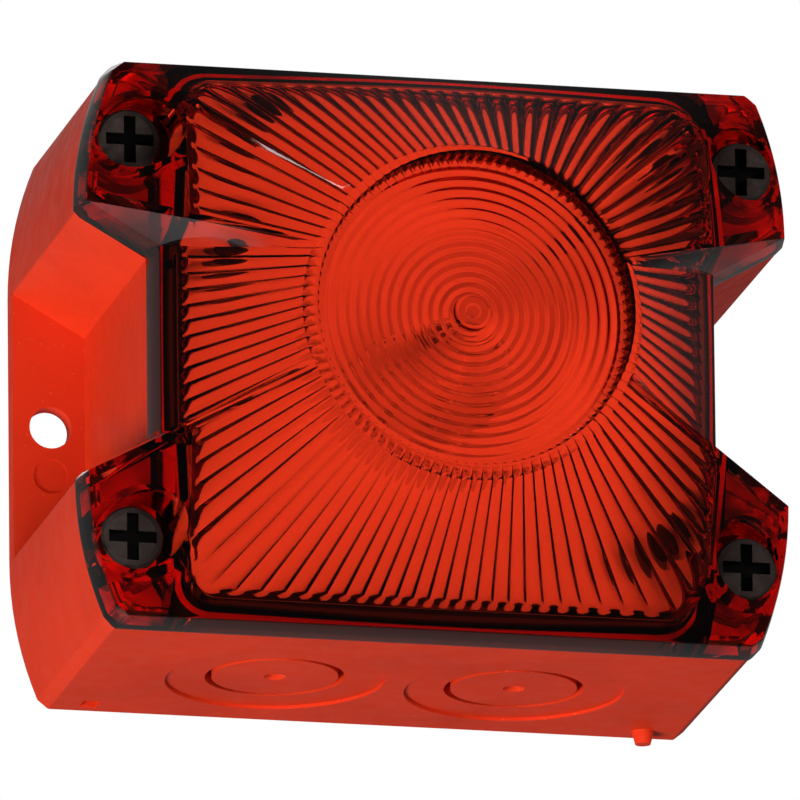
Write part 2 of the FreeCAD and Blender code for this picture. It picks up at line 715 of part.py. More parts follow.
def make_lamp():
    """U-shaped flash tube with its electrodes, trigger wire, holder and stem."""
    board_front = S.board_depth + S.board_t
    holder_back = S.bowl_foot - 2
    stem = rod("StemBody", 0, 0, board_front, holder_back, S.stem_r)
    collar = rod("StemCollar", 0, 0, holder_back - 3, holder_back, S.holder_r)
    foot = rod("StemFoot", 0, 0, board_front, board_front + 2, S.stem_r + 2)
    ways = lead_ways("StemWay", board_front, holder_back)
    keep(cut("Stem", fuse("StemBlank", stem, collar, foot), *ways), "lamp_stem")

    disc = rod("HolderDisc", 0, 0, holder_back, S.bowl_foot + 3, S.holder_r)
    step = rod("HolderStep", 0, 0, S.bowl_foot + 3, S.tube_foot, S.holder_r - 1.5)
    ways = lead_ways("HolderWay", holder_back, S.tube_foot)
    keep(cut("Holder", fuse("HolderBlank", disc, step), *ways), "tube_holder")

    keep(cut("FlashTube", tube_run("Glass", S.tube_r), tube_run("Bore", S.tube_bore)), "flash_tube")

    electrodes = []
    for index, side in enumerate((-1, 1)):
        x = S.leg_gap * side
        lead = rod(f"Lead{index}", x, 0, board_front, S.tube_foot, 0.6)
        plug = rod(f"Plug{index}", x, 0, S.tube_foot, S.tube_foot + 5, S.tube_bore - 0.02)
        electrodes.append(fuse(f"Electrode{index}", lead, plug))
    keep(group("Electrodes", *electrodes), "tube_electrodes")

    loop_depth = S.tube_bend - 8
    loops = [
        ring(f"TriggerLoop{i}", S.leg_gap * side, 0, loop_depth, S.tube_r + 0.37, 0.35)
        for i, side in enumerate((-1, 1))
    ]
    reach = S.leg_gap - S.tube_r - 0.4
    bridge = bar("TriggerBridge", -reach, loop_depth, 0, 0.35, reach * 2)
    riser = rod("TriggerRiser", 0, 0, board_front, loop_depth, 0.45)
    keep(fuse("TriggerWire", riser, bridge, *loops), "trigger_wire")


def lead_ways(name, back, front):
    """Holes for the two electrode leads and, between them, the trigger wire."""
    places = (-S.leg_gap, Size(0), S.leg_gap)
    return [rod(f"{name}{i}", x, 0, back, front, S.lead_way_r) for i, x in enumerate(places)]


def tube_run(name, radius):
    """The flash tube's U: two legs and a half ring."""
    legs = [
        rod(f"{name}Leg{i}", S.leg_gap * side, 0, S.tube_foot, S.tube_bend, radius)
        for i, side in enumerate((-1, 1))
    ]
    bend = bind(new("Part::Torus", f"{name}Bend"), Radius1=S.leg_gap, Radius2=radius)
    bend.Angle3 = 180
    place(bend, 0, S.tube_bend, 0, Rotation(Vector(1, 0, 0), 180))
    return fuse(f"{name}Run", *legs, bend)


# ---------------------------------------------------------------- circuit board and its parts


def make_board():
    """Board with clearance holes for its screws and for the reflector posts."""
    height = S.board_top - S.board_bottom
    middle = (S.board_top + S.board_bottom) * 0.5
    blank = slab("BoardBlank", 0, S.board_depth, middle, S.board_half_w * 2, S.board_t, height)
    front = S.board_depth + S.board_t
    holes = [
        rod(f"BoardHole{i}", x, z, S.board_depth, front, S.board_screw_r + 0.2)
        for i, (x, z) in enumerate(board_fixings())
    ]
    holes += [
        rod(f"BoardPostHole{i}", x, z, S.board_depth, front, S.post_r + 0.3)
        for i, (x, z) in enumerate(POSTS)
        if z > S.board_bottom.value
    ]
    keep(cut("Board", blank, *holes), "circuit_board")

    screws = []
    for index, (x, z) in enumerate(board_fixings()):
        head = front + 2.0
        profile = [
            (0, front - 7),
            (S.board_screw_r, front - 6.2),
            (S.board_screw_r, front),
            (2.8, front),
            (2.8, head - 0.8),
            (2.0, head),
            (0, head),
        ]
        screws.append(turned(f"BoardScrew{index}", x, z, profile))
    keep(group("BoardScrews", *screws), "board_screws")
    return front


def make_power_parts(front):
    """Storage and film capacitors, inverter transformer, trigger coil, transistor and heat sink."""
    can_r, can_top = Size(9.0), front + 32
    can = [
        (0, front),
        (can_r - 0.5, front),
        (can_r, front + 0.6),
        (can_r, front + 3),
        (can_r - 0.7, front + 3.8),
        (can_r, front + 4.6),
        (can_r, can_top - 0.8),
        (can_r - 0.8, can_top),
        (can_r - 1.6, can_top),
        (can_r - 1.9, can_top - 0.4),
        (0, can_top - 0.4),
    ]
    keep(turned("StorageCapacitor", -27, 27, can), "storage_capacitor")

    case = slab("FilmCase", 24, front + 1, 31, 16, 13, 8)
    film_legs = [rod(f"FilmLeg{i}", x, 31, front, front + 1, 0.4) for i, x in enumerate((18, 30))]
    keep(fuse("FilmCapacitor", case, *film_legs), "film_capacitor")

    core_x, core_z = 27, 8
    block = slab("CoreBlock", core_x, front + 1.5, core_z, 22, 16, 12)
    window = cut(
        "CoreWindow",
        rod("CoreWindowOuter", core_x, core_z, front + 4, front + 15, 8.2),
        rod("CoreWindowInner", core_x, core_z, front + 4, front + 15, 3.5),
    )
    keep(cut("InverterCore", block, window), "inverter_core")
    coil = cut(
        "CoilBlank",
        rod("CoilOuter", core_x, core_z, front + 4.4, front + 14.6, 7.6),
        rod("CoilInner", core_x, core_z, front + 4.4, front + 14.6, 3.6),
    )
    keep(coil, "inverter_winding")
    frame = slab("BobbinBase", core_x, front, core_z, 20, 1.5, 11)
    keep(frame, "bobbin_base")

    trigger = rod("TriggerCan", 3, 33, front + 1, front + 13, 5)
    cap = rod("TriggerCap", 3, 33, front + 13, front + 14, 4.2)
    coil_legs = [rod(f"TriggerLeg{i}", x, 33, front, front + 1, 0.4) for i, x in enumerate((0, 6))]
    keep(fuse("TriggerCoil", trigger, cap, *coil_legs), "trigger_coil")

    sink_back = slab("SinkBack", -17, front, 5, 1.5, 22, 18)
    fins = [slab(f"SinkFin{i}", -20, front, z, 6, 22, 1.2) for i, z in enumerate((-3.4, 2.2, 7.8, 13.4))]
    keep(fuse("HeatSink", sink_back, *fins), "heat_sink")
    package = slab("TransistorCase", -14, front + 5, 5, 4.5, 9, 10)
    tab = slab("TransistorTab", -15.6, front + 5, 5, 1.3, 15, 10)
    pins = [
        slab(f"TransistorPin{i}", -14, front, z, 0.5, 5, 0.8) for i, z in enumerate((2.46, 5, 7.54))
    ]
    keep(fuse("PowerTransistor", package, tab, *pins), "power_transistor")


def make_small_parts(front):
    """Rectifier diodes, resistors and the mains fuse."""
    diodes, resistors = [], []
    for index in range(4):
        diodes.append(axial(f"Diode{index}", -9.5, front, 20 + 4 * index, 1.35, 5.2))
    for index in range(5):
        column, row = index % 2, index // 2
        resistors.append(axial(f"Resistor{index}", 3 + 8 * column, front, 14 + 4 * row, 1.1, 4.0))
    keep(group("Diodes", *diodes), "rectifier_diodes")
    keep(group("Resistors", *resistors), "resistors")

    fuse_z, fuse_axis = -4.0, front + 4.2
    glass = bar("FuseGlass", 18, fuse_axis, fuse_z, 2.3, 14)
    caps = [bar(f"FuseCap{i}", x, fuse_axis, fuse_z, 2.6, 4.5) for i, x in enumerate((14.5, 31))]
    keep(fuse("Fuse", glass, *caps), "fuse")
    clips = []
    for index, x in enumerate((16.75, 33.25)):
        base = slab(f"ClipBase{index}", x, front, fuse_z, 3.4, 6.4, 7.2)
        seat = bar(f"ClipSeat{index}", x - 1.7, fuse_axis, fuse_z, 2.62, 3.4)
        mouth = slab(f"ClipMouth{index}", x, front + 4.2, fuse_z, 3.4, 4, 4.4)
        clips.append(cut(f"Clip{index}", base, seat, mouth))
    keep(group("FuseClips", *clips), "fuse_clips")


def axial(name, x, front, z, radius, length):
    """A small part that lies along X on two bent leads."""
    axis = front + radius + 0.3
    barrel = bar(f"{name}Barrel", x - length / 2, axis, z, radius, length)
    lead = bar(f"{name}Lead", x - length / 2 - 1.5, axis, z, 0.27, length + 3)
    legs = [
        rod(f"{name}Leg{i}", x + side * (length / 2 + 1.5), z, front, axis + 0.45, 0.35)
        for i, side in enumerate((-1, 1))
    ]
    return fuse(name, barrel, lead, *legs)


def make_terminals(front):
    """Four-pole terminal block: each pole has a brass clamp and a slotted screw."""
    poles = [S.terminal_pitch * (index - 1.5) for index in range(4)]
    deep = S.terminal_front - front
    block = slab("BlockBlank", 0, front, S.terminal_z, S.terminal_pitch * 4 + 2, deep, 11)
    holes, clamps = [], []
    bore = S.terminal_screw_r + S.running
    for index, x in enumerate(poles):
        holes.append(rod(f"PoleBore{index}", x, S.terminal_z, front + 8, S.terminal_front, bore))
        holes.append(slab(f"PoleCage{index}", x, front + 2, S.terminal_z, 5.4, 6.2, 6.4))
        holes.append(slab(f"WireWay{index}Mouth", x, front + 2, S.terminal_z - 4.4, 5.4, 5.4, 2.4))
        cage = slab(f"Cage{index}", x, front + 2, S.terminal_z, 5.2, 6, 6)
        wire = slab(f"CageWire{index}", x, front + 3, S.terminal_z, 3.6, 3.2, 6)
        thread = rod(f"CageThread{index}", x, S.terminal_z, front + 5, front + 8, S.clamp_thread_r)
        clamps.append(cut(f"Clamp{index}", cage, wire, thread))
    keep(cut("TerminalBlock", block, *holes), "terminal_block")
    keep(group("Clamps", *clamps), "terminal_clamps")
    head_back, head_front = front + 8.4, S.terminal_front - 2
    shank_r = S.clamp_thread_r - S.running
    for number, x in enumerate(poles, start=1):
        head = rod(f"TerminalHead{number}", x, S.terminal_z, head_back, head_front, S.terminal_screw_r)
        shank = rod(f"TerminalShank{number}", x, S.terminal_z, front + 6.4, head_back, shank_r)
        slot = slab(f"TerminalSlot{number}", x, head_front - 1.2, S.terminal_z, 5, 1.2, 0.9)
        pin = fuse(f"TerminalPin{number}", head, shank)
        keep(cut(f"TerminalScrew{number}", pin, slot), f"terminal_screw_{number}")


def make_switches(front):
    """Block of four small slide switches that set the flash rate."""
    case = slab("SwitchCase", S.dip_x, front, S.dip_z, S.dip_pitch * 4 + 1.6, 5, 6.4)
    slots = []
    for index in range(4):
        x = S.dip_x + S.dip_pitch * (index - 1.5)
        slots.append(slab(f"SwitchSlot{index}", x, front + 3, S.dip_z, 1.5, 2, 4.2))
    keep(cut("SwitchBlock", case, *slots), "dip_switch")
    for index in range(4):
        x = S.dip_x + S.dip_pitch * (index - 1.5)
        lever = slab(f"SwitchLever{index}", x, front + 3.05, S.dip_z - 0.95, 1.3, 2.6, 2.0)
        keep(lever, f"dip_slider_{index + 1}")


# ---------------------------------------------------------------- build, check and write


make_housing()
make_cover()
make_gasket()
for screw_label, (screw_side, screw_level) in QUADRANTS.items():
    make_cover_screw(screw_label, screw_side, screw_level)
make_screw_hardware()
make_reflector()
make_posts()
make_lamp()
board_front = make_board()
make_power_parts(board_front)
make_small_parts(board_front)
make_terminals(board_front)
make_switches(board_front)
doc.recompute()

for obj in doc.Objects:
    if {"Invalid", "Error"} & set(obj.State):
        raise ValueError(f"{obj.Name} failed: {obj.getStatusString()}")
for node in nodes:
    if node.Shape.isNull() or not node.Shape.isValid() or not node.Shape.Solids:
        raise ValueError(f"{node.Label} has no valid solid")

os.makedirs("parts", exist_ok=True)
for node in nodes:
    node.Shape.exportStep(f"parts/{node.Label}.step")
    print(f"{node.Label:24s} solids {len(node.Shape.Solids)}  volume {node.Shape.Volume:10.1f}")
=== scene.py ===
"""Visual model of the flashing beacon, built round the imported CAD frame.

Metres, with +Z up and -Y out of the wall. "Depth" is the distance out from the wall.

The transparent cover is rebuilt here with its inner flutes, crown rings and screw pockets. The other
pieces keep their CAD shape and get procedural materials.
"""

import json
import math

import bmesh
import bpy
import numpy as np
from mathutils import Matrix, Vector


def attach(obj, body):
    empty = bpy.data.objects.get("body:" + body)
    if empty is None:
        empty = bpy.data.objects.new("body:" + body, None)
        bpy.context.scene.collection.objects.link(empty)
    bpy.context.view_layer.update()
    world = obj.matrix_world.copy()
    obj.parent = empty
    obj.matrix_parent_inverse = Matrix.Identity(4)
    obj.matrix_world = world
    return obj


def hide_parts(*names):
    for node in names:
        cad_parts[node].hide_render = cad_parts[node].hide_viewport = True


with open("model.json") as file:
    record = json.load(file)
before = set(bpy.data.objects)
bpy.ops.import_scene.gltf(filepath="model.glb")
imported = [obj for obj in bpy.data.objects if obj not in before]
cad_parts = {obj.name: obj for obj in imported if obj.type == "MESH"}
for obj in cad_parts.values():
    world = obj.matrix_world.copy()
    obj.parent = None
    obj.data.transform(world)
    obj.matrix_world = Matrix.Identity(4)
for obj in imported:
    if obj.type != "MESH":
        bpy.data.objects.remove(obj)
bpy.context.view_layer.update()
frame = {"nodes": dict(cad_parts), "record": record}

MM = 0.001
CLEAR = 0.05  # the lens floats this far off the housing's rim, so that no two faces coincide

# Housing outline, in mm, as in the CAD
WAIST_W, WAIST_Z = 52.0, 17.2
EAR_W, EAR_Z, EAR_ARC = 65.4, 24.9, 67.0
CORNER_X, CORNER_Z = 60.36, 50.4
TOP_X, HALF_H = 58.4, 52.0
STEP_SHIFT = 0.58  # how far the slanted step moves in z for each mm that the outline grows
ARC_STEPS, ROUND_STEPS = 24, 16

# Lens cover outside, in mm: its depths, and how far rim and edge stand out of the outline
RIM, EDGE, CROWN = 58.0, 65.0, 95.0
RIM_GROW, RIM_TOP = 0.35, 0.25
EDGE_GROW, EDGE_TOP = -0.6, 0.45
CROWN_R, RECESS_R, RECESS_SINK, SCALLOP = 30.1, 28.2, 2.8, 0.32
BUTTON_R, BUTTON_UP, EYE_R = 3.2, 1.1, 1.3

# Lens cover inside, in mm
WALL, EDGE_DROP, LEDGE, CROWN_INNER = 2.6, 1.2, 0.9, 90.3
CHAMBER, CHAMBER_ROUND, LIP = 47.4, 6.0, 2.6
FLUTES, FLUTE_SINK = 100, 0.9
FLUTE_STEPS, FLUTE_RUN_IN = 6, 0.07
RINGS, RING_SINK, RING_PITCH = 13, 0.42, 1.9

# Cover screws and their pockets, in mm
SCREW_X, SCREW_Z = 56.7, 37.2
HEAD_SEAT, HEAD_TOP = 62.0, 65.2
# Reach of the screw's cross recess, and how far below the head's top its painted shade starts
CROSS_R, CROSS_LIP = 4.7, 0.25
POCKET_IN, POCKET_R, POCKET_WALL = 1.0, 7.0, 1.6
SEAL_SEAT_R, SEAL_SEAT_SINK, SHANK_WAY_R = 4.42, 1.6, 2.75
WASHER_SEAT_R, WASHER_SEAT_SINK = 4.6, 1.2
QUARTERS = [(side, level) for side in (-1, 1) for level in (-1, 1)]

# Where lamp light gets through the lens: the window, and patches of each ear beyond these, in mm
LIT_WINDOW, LIT_EAR_X, LIT_EAR_Z, LIT_SHARE = 48.0, 50.0, 21.0, 0.47


# ---------------------------------------------------------------- materials


def math_node(nodes, links, operation, *inputs):
    """A math node fed with numbers and sockets."""
    made = nodes.new("ShaderNodeMath")
    made.operation = operation
    for socket, value in zip(made.inputs, inputs):
        if isinstance(value, float):
            socket.default_value = value
        else:
            links.new(value, socket)
    return made.outputs[0]


class Shader:
    """A node material with a principled surface and short ways to vary it."""

    def __init__(self, name):
        self.material = bpy.data.materials.new(name)
        self.material.use_nodes = True
        self.nodes, self.links = self.material.node_tree.nodes, self.material.node_tree.links
        self.surface = self.nodes["Principled BSDF"]
        self.place = self.node("ShaderNodeTexCoord").outputs["Object"]

    def node(self, kind, **values):
        made = self.nodes.new(kind)
        for key, value in values.items():
            setattr(made, key, value)
        return made

    def set(self, **values):
        for key, value in values.items():
            self.surface.inputs[key.replace("_", " ")].default_value = value
        return self

    def link(self, source, target):
        self.links.new(source, target)

    def math(self, operation, *inputs):
        return math_node(self.nodes, self.links, operation, *inputs)

    def axes(self):
        """The place on the object as its X, Y and Z."""
        apart = self.node("ShaderNodeSeparateXYZ")
        self.link(self.place, apart.inputs["Vector"])
        return apart.outputs

    def noise(self, scale, detail=3.0, rough=0.55, stretch=(1, 1, 1)):
        mapping = self.node("ShaderNodeMapping")
        mapping.inputs["Scale"].default_value = stretch
        self.link(self.place, mapping.inputs["Vector"])
        noise = self.node("ShaderNodeTexNoise")
        noise.inputs["Scale"].default_value = scale
        noise.inputs["Detail"].default_value = detail
        noise.inputs["Roughness"].default_value = rough
        self.link(mapping.outputs["Vector"], noise.inputs["Vector"])
        return noise.outputs["Fac"]

    def ramp(self, factor, *stops):
        ramp = self.node("ShaderNodeValToRGB")
        elements = ramp.color_ramp.elements
        while len(elements) < len(stops):
            elements.new(0.5)
        for element, (position, colour) in zip(elements, stops):
            element.position = position
            element.color = (*colour, 1.0)
        self.link(factor, ramp.inputs["Fac"])
        return ramp.outputs["Color"]

    def span(self, factor, low, high, start=0.0, end=1.0):
        span = self.node("ShaderNodeMapRange")
        for key, value in (("From Min", start), ("From Max", end), ("To Min", low), ("To Max", high)):
            span.inputs[key].default_value = value
        self.link(factor, span.inputs["Value"])
        return span.outputs["Result"]

    def bump(self, *layers):
        """Each layer is a height and its depth in metres."""
        normal = None
        for height, depth in layers:
            bump = self.node("ShaderNodeBump")
            bump.inputs["Strength"].default_value = 1.0
            bump.inputs["Distance"].default_value = depth
            self.link(height, bump.inputs["Height"])
            if normal is not None:
                self.link(normal, bump.inputs["Normal"])
            normal = bump.outputs["Normal"]
        self.link(normal, self.surface.inputs["Normal"])
        return self


def linear(code):
    """An sRGB colour code as linear numbers."""
    parts = [int(code[i : i + 2], 16) / 255 for i in (1, 3, 5)]
    return tuple(p / 12.92 if p <= 0.04045 else ((p + 0.055) / 1.055) ** 2.4 for p in parts)


def shade(colour, factor):
    return tuple(min(1.0, c * factor) for c in colour)


def moulded(name, code, rough=0.35, mottle=0.1, grain=900.0, depth=6e-6, **extra):
    """Injection-moulded plastic: slight flow mottling, fine grain and uneven gloss."""
    s, base = Shader(name), linear(code)
    cloud = s.noise(55.0, 4.0)
    colours = ((0.3, shade(base, 1 - mottle)), (0.55, base), (0.75, shade(base, 1 + mottle)))
    s.link(s.ramp(cloud, *colours), s.surface.inputs["Base Color"])
    s.link(s.span(s.noise(140.0), rough - 0.06, rough + 0.08, 0.35, 0.65), s.surface.inputs["Roughness"])
    s.bump((s.noise(grain, 2.0), depth), (s.noise(90.0), depth * 3))
    return s.set(**extra).material


def metal(name, code, rough=0.3, stretch=(1, 1, 1), grain=1500.0):
    """Bare or plated metal with drawn or turned marks and uneven tarnish."""
    s, base = Shader(name), linear(code)
    colours = ((0.3, shade(base, 0.75)), (0.6, base), (0.8, shade(base, 1.12)))
    s.link(s.ramp(s.noise(180.0, 4.0), *colours), s.surface.inputs["Base Color"])
    marks = s.noise(grain, 2.0, stretch=stretch)
    s.link(s.span(marks, rough - 0.08, rough + 0.12, 0.3, 0.7), s.surface.inputs["Roughness"])
    s.bump((marks, 4e-6))
    return s.set(Metallic=1.0).material


def housing_material():
    """Signal-red ABS: satin, with faint flow lines, pale specks and a fine spark-eroded grain."""
    s, base = Shader("housing_red"), linear("#D8361A")
    cloud = s.ramp(s.noise(38.0, 5.0), (0.3, shade(base, 0.88)), (0.5, base), (0.75, shade(base, 1.08)))
    speck = s.ramp(s.noise(1300.0, 1.0), (0.70, (0, 0, 0)), (0.76, (0.25, 0.25, 0.25)))
    mix = s.node("ShaderNodeMix", data_type="RGBA")
    s.link(speck, mix.inputs["Factor"])
    s.link(cloud, mix.inputs["A"])
    mix.inputs["B"].default_value = (*linear("#F08A5A"), 1)
    s.link(mix.outputs["Result"], s.surface.inputs["Base Color"])
    s.link(s.span(s.noise(210.0), 0.42, 0.54, 0.35, 0.65), s.surface.inputs["Roughness"])
    s.bump((s.noise(1500.0, 2.0), 7e-6), (s.noise(120.0), 1.5e-5))
    s.set(Subsurface_Weight=0.06, Subsurface_Scale=0.002, Specular_IOR_Level=0.17)
    return s.material


def lens_material():
    """Clear red polycarbonate: coloured right through, polished, with faint flow and handling marks.

    Shadow rays see a simpler lens: open over the window, patchy in the ears and closed elsewhere.
    """
    s, base = Shader("lens_red"), (0.86, 0.040, 0.011)
    tint = s.ramp(s.noise(30.0, 3.0), (0.3, shade(base, 0.95)), (0.7, base))
    s.link(tint, s.surface.inputs["Base Color"])
    s.link(s.span(s.noise(700.0, 4.0), 0.015, 0.06, 0.4, 0.75), s.surface.inputs["Roughness"])
    s.bump((s.noise(45.0, 2.0), 1.2e-5))
    s.set(Transmission_Weight=1.0, IOR=1.5)

    axes = s.axes()
    across, upright = s.math("ABSOLUTE", axes["X"]), s.math("ABSOLUTE", axes["Z"])
    beyond = s.math("GREATER_THAN", s.math("MAXIMUM", across, upright), LIT_WINDOW * MM)
    outside = s.math("GREATER_THAN", across, LIT_EAR_X * MM)
    ear = s.math("MULTIPLY", outside, s.math("GREATER_THAN", upright, LIT_EAR_Z * MM))
    patch = s.math("GREATER_THAN", s.noise(190.0, 3.0, 0.65), LIT_SHARE)
    lit = s.math("ADD", s.math("SUBTRACT", 1.0, beyond), s.math("MULTIPLY", ear, patch))
    shadow = s.node("ShaderNodeBsdfTransparent")
    s.link(s.ramp(lit, (0.0, (0.015, 0.002, 0.001)), (1.0, (1, 1, 1))), shadow.inputs["Color"])
    path, mix = s.node("ShaderNodeLightPath"), s.node("ShaderNodeMixShader")
    s.link(path.outputs["Is Shadow Ray"], mix.inputs["Fac"])
    s.link(s.surface.outputs["BSDF"], mix.inputs[1])
    s.link(shadow.outputs["BSDF"], mix.inputs[2])
    s.link(mix.outputs["Shader"], s.nodes["Material Output"].inputs["Surface"])
    return s.material


def clear_glass():
    s = Shader("clear_glass")
    tint = s.ramp(s.noise(90.0), (0.3, (0.93, 0.96, 0.96)), (0.7, (0.98, 0.99, 0.99)))
    s.link(tint, s.surface.inputs["Base Color"])
    s.link(s.span(s.noise(400.0), 0.0, 0.05, 0.4, 0.8), s.surface.inputs["Roughness"])
    return s.set(Transmission_Weight=1.0, IOR=1.47).material


def board_material():
    """Green solder mask over copper tracks and tinned pads."""
    s = Shader("board_green")
    tracks = s.node("ShaderNodeTexBrick")
    tracks.offset, tracks.squash = 0.37, 1.0
    tracks.inputs["Scale"].default_value = 90.0
    tracks.inputs["Mortar Size"].default_value = 0.045
    tracks.inputs["Brick Width"].default_value = 0.9
    tracks.inputs["Row Height"].default_value = 0.22
    turn = s.node("ShaderNodeMapping")
    turn.inputs["Rotation"].default_value = (math.pi / 2, 0, 0)
    s.link(s.place, turn.inputs["Vector"])
    s.link(turn.outputs["Vector"], tracks.inputs["Vector"])
    for key, code in (("Color1", "#1C5B33"), ("Color2", "#226A3B"), ("Mortar", "#123F22")):
        tracks.inputs[key].default_value = (*linear(code), 1)
    s.link(tracks.outputs["Color"], s.surface.inputs["Base Color"])
    s.link(s.span(s.noise(300.0), 0.25, 0.4, 0.3, 0.7), s.surface.inputs["Roughness"])
    s.bump((tracks.outputs["Fac"], 2e-5))
    return s.material


def wound_material():
    """Layers of enamelled copper wire."""
    s = Shader("winding_copper")
    wave = s.node("ShaderNodeTexWave", wave_type="BANDS", bands_direction="Y")
    wave.inputs["Scale"].default_value = 480.0
    wave.inputs["Distortion"].default_value = 0.4
    s.link(s.place, wave.inputs["Vector"])
    colours = ((0.2, linear("#5E2812")), (0.8, linear("#C0703A")))
    s.link(s.ramp(wave.outputs["Fac"], *colours), s.surface.inputs["Base Color"])
    s.bump((wave.outputs["Fac"], 8e-5))
    return s.set(Metallic=0.6, Roughness=0.35).material


def banded_material():
    """Lacquered resistor bodies with plain rings."""
    s = Shader("resistor_beige")
    wave = s.node("ShaderNodeTexWave", wave_type="BANDS", bands_direction="X")
    wave.inputs["Scale"].default_value = 260.0
    s.link(s.place, wave.inputs["Vector"])
    stops = ((0.0, linear("#CDB98E")), (0.72, linear("#CDB98E")), (0.8, linear("#6B4A2A")))
    s.link(s.ramp(wave.outputs["Fac"], *stops), s.surface.inputs["Base Color"])
    return s.set(Roughness=0.35).material


def screw_material():
    """Dark glass-filled nylon, slightly worn and chalky, with painted shade that makes the cross recess
    nearly black.
    """
    s = Shader("screw_grey")
    colours = ((0.4, linear("#28211F")), (0.62, linear("#332B28")), (0.8, linear("#4F4844")))
    wear = s.ramp(s.noise(260.0, 6.0, 0.7), *colours)
    axes = s.axes()
    # Painted shade: inside CROSS_R and below the head's top, the cross recess is coloured nearly black
    squares = [
        s.math("POWER", s.math("SUBTRACT", s.math("ABSOLUTE", axes[axis]), centre * MM), 2.0)
        for axis, centre in (("X", SCREW_X), ("Z", SCREW_Z))
    ]
    within = s.math("LESS_THAN", s.math("ADD", *squares), (CROSS_R * MM) ** 2)
    below = s.math("GREATER_THAN", axes["Y"], -(HEAD_TOP - CROSS_LIP) * MM)
    recess_shade_mix = s.node("ShaderNodeMix", data_type="RGBA")
    s.link(s.math("MULTIPLY", within, below), recess_shade_mix.inputs["Factor"])
    s.link(wear, recess_shade_mix.inputs["A"])
    # near-black colour of the painted shade in the cross recess
    recess_shade_mix.inputs["B"].default_value = (0.003, 0.0026, 0.0024, 1)
    s.link(recess_shade_mix.outputs["Result"], s.surface.inputs["Base Color"])
    s.link(s.span(s.noise(500.0), 0.38, 0.6, 0.35, 0.65), s.surface.inputs["Roughness"])
    s.bump((s.noise(800.0, 3.0), 1.6e-5), (s.noise(150.0), 4e-5))
    return s.set(Specular_IOR_Level=0.12).material


def make_materials():
    return {
        "housing_red": housing_material(),
        "lens_red": lens_material(),
        "seal_rubber": moulded("seal_rubber", "#151516", 0.6, 0.2),
        "insert_brass": metal("insert_brass", "#C39B4A", 0.28),
        "washer_nylon": moulded("washer_nylon", "#D8D4C6", 0.45),
        "screw_grey": screw_material(),
        "reflector_white": moulded("reflector_white", "#F3F1EC", 0.3, 0.03),
        "post_black": moulded("post_black", "#121213", 0.4, 0.2),
        "holder_white": moulded("holder_white", "#E6E1D6", 0.5, 0.06),
        "tube_glass": clear_glass(),
        "lead_wire": metal("lead_wire", "#B4B5B8", 0.3),
        "board_green": board_material(),
        "screw_steel": metal("screw_steel", "#B9BBBE", 0.28),
        "can_black": moulded("can_black", "#1A1B22", 0.3, 0.15),
        "film_case": moulded("film_case", "#A83A26", 0.25, 0.15),
        "core_ferrite": moulded("core_ferrite", "#39393B", 0.7, 0.25),
        "winding_copper": wound_material(),
        "coil_tape": moulded("coil_tape", "#D9B64A", 0.35, 0.12),
        "sink_aluminium": metal("sink_aluminium", "#A5A8AB", 0.38, (1, 20, 1)),
        "resistor_beige": banded_material(),
        "fuse_glass": metal("fuse_glass", "#C9CCCD", 0.2),
        "terminal_green": moulded("terminal_green", "#2F7A4B", 0.45),
        "switch_blue": moulded("switch_blue", "#274F9A", 0.4),
    }


def finish_cad_nodes(materials):
    slots = {entry["node"]: entry["material_slot"] for entry in frame["record"]["subparts"]}
    for node, obj in frame["nodes"].items():
        obj.data.materials.clear()
        obj.data.materials.append(materials[slots[node]])


# ---------------------------------------------------------------- lens: outlines in polar form


def outline(grow, top_grow):
    """First quadrant of the beacon's outline, from the waist to the top."""
    arc_x = EAR_W - EAR_ARC
    corner_turn = math.asin((CORNER_Z - EAR_Z) / EAR_ARC)
    points = [(WAIST_W + grow, 0.0), (WAIST_W + grow, WAIST_Z - grow * STEP_SHIFT)]
    points.append((EAR_W + grow, EAR_Z - grow * STEP_SHIFT))
    for step in range(1, ARC_STEPS + 1):
        turn = corner_turn * step / ARC_STEPS
        radius = EAR_ARC + grow
        points.append((arc_x + radius * math.cos(turn), EAR_Z + radius * math.sin(turn)))
    points.append((TOP_X + grow, HALF_H + top_grow))
    points.append((0.0, HALF_H + top_grow))
    return points


def reach(points, angles):
    """Distance from the centre to an outline, at each angle round the whole turn."""
    folded = np.arctan2(np.abs(np.sin(angles)), np.abs(np.cos(angles)))
    turns = np.array([math.atan2(y, x) for x, y in points])
    index = np.clip(np.searchsorted(turns, folded, side="right") - 1, 0, len(points) - 2)
    start, end = np.array(points)[index], np.array(points)[index + 1]
    along = end - start
    ray = np.stack([np.cos(folded), np.sin(folded)], axis=1)
    cross = ray[:, 0] * along[:, 1] - ray[:, 1] * along[:, 0]
    return (start[:, 0] * along[:, 1] - start[:, 1] * along[:, 0]) / cross


def square_reach(half, radius, angles):
    """The same for a rounded square."""
    flat = half - radius
    points = [(half, 0.0)]
    for step in range(ROUND_STEPS + 1):
        turn = math.pi / 2 * step / ROUND_STEPS
        points.append((flat + radius * math.cos(turn), flat + radius * math.sin(turn)))
    points.append((0.0, half))
    return reach(points, angles)


def even_angles(count):
    return np.arange(count) * (2 * math.pi / count)


def angles_with_corners(count):
    """Even steps round the turn, and each corner of the outline in place of the steps beside it."""
    beside, corners, points = 0.003, [], outline(EDGE_GROW, 0.0)
    for x, y in points[1:3] + points[-3:-1]:
        turn = math.atan2(y, x)
        corners += [turn, math.pi - turn, math.pi + turn, 2 * math.pi - turn]
    kept = [a for a in even_angles(count) if min(abs(a - c) for c in corners) > beside]
    return np.array(sorted(kept + corners))


# ---------------------------------------------------------------- lens: solids


def linked(name, mesh):
    """Puts a bmesh into the scene as an object."""
    data = bpy.data.meshes.new(name)
    mesh.to_mesh(data)
    mesh.free()
    obj = bpy.data.objects.new(name, data)
    bpy.context.scene.collection.objects.link(obj)
    return obj


